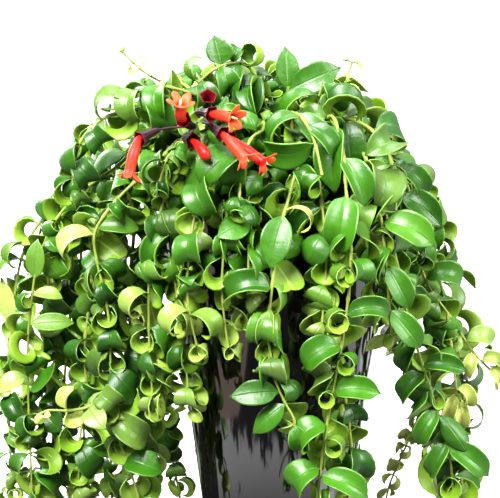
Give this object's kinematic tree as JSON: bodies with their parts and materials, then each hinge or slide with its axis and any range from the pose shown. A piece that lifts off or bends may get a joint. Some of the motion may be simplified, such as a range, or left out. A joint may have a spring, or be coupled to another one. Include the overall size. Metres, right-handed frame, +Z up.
{
  "type": "lipstick plant in a pot",
  "caption": "Trailing lipstick plant with curled leaves and tubular red flowers, growing in a tall round tapered planter.",
  "frame": {"origin": "centre of the planter's flat foot, on the surface that it stands on", "axes": "+Z up out of the planter, -Y the plant's front, +X to the right seen from the front"},
  "size_m": [0.4452, 0.3713, 0.4832],
  "materials": {
    "planter_glaze": "gloss",
    "potting_mix": "matte",
    "leaf": "satin",
    "stem": "satin",
    "calyx": "satin",
    "corolla": "satin"
  },
  "bodies": {
    "root": {"calyx_a": "calyx", "calyx_b": "calyx", "calyx_bud": "calyx", "calyx_c": "calyx", "calyx_e": "calyx", "calyx_f": "calyx", "calyx_spent": "calyx", "corolla_a": "corolla", "corolla_b": "corolla", "corolla_bud": "corolla", "corolla_c": "corolla", "corolla_e": "corolla", "corolla_f": "corolla", "planter": "planter_glaze", "potting_mix": "potting_mix", "shoot_back_inner": "leaf", "shoot_back_inner_left": "leaf", "shoot_back_inner_right": "leaf", "shoot_back_left": "leaf", "shoot_back_left_far": "leaf", "shoot_back_left_mid": "leaf", "shoot_back_outer": "leaf", "shoot_back_outer_left": "leaf", "shoot_back_outer_right": "leaf", "shoot_back_right": "leaf", "shoot_back_right_mid": "leaf", "shoot_crown_back": "leaf", "shoot_crown_back_left": "leaf", "shoot_crown_back_right": "leaf", "shoot_crown_far_right": "leaf", "shoot_crown_front": "leaf", "shoot_crown_front_left": "leaf", "shoot_crown_left": "leaf", "shoot_crown_mid": "leaf", "shoot_crown_right": "leaf", "shoot_flowering": "leaf", "shoot_front_left_short": "leaf", "shoot_front_long": "leaf", "shoot_front_mid": "leaf", "shoot_left_back_fine": "leaf", "shoot_left_far": "leaf", "shoot_left_front": "leaf", "shoot_left_inner": "leaf", "shoot_left_mid": "leaf", "shoot_left_outer": "leaf", "shoot_right_back_fine": "leaf", "shoot_right_front": "leaf", "shoot_right_outer": "leaf", "shoot_right_side": "leaf", "shoot_rim_centre": "leaf", "shoot_rim_far_right": "leaf", "shoot_rim_left": "leaf", "shoot_rim_right": "leaf", "shoot_top_left": "leaf", "shoot_top_left_fine": "leaf", "shoot_top_mid": "leaf", "shoot_top_peak": "leaf", "shoot_top_right_big": "leaf", "shoot_top_right_fine": "leaf"}
  },
  "joints": []
}
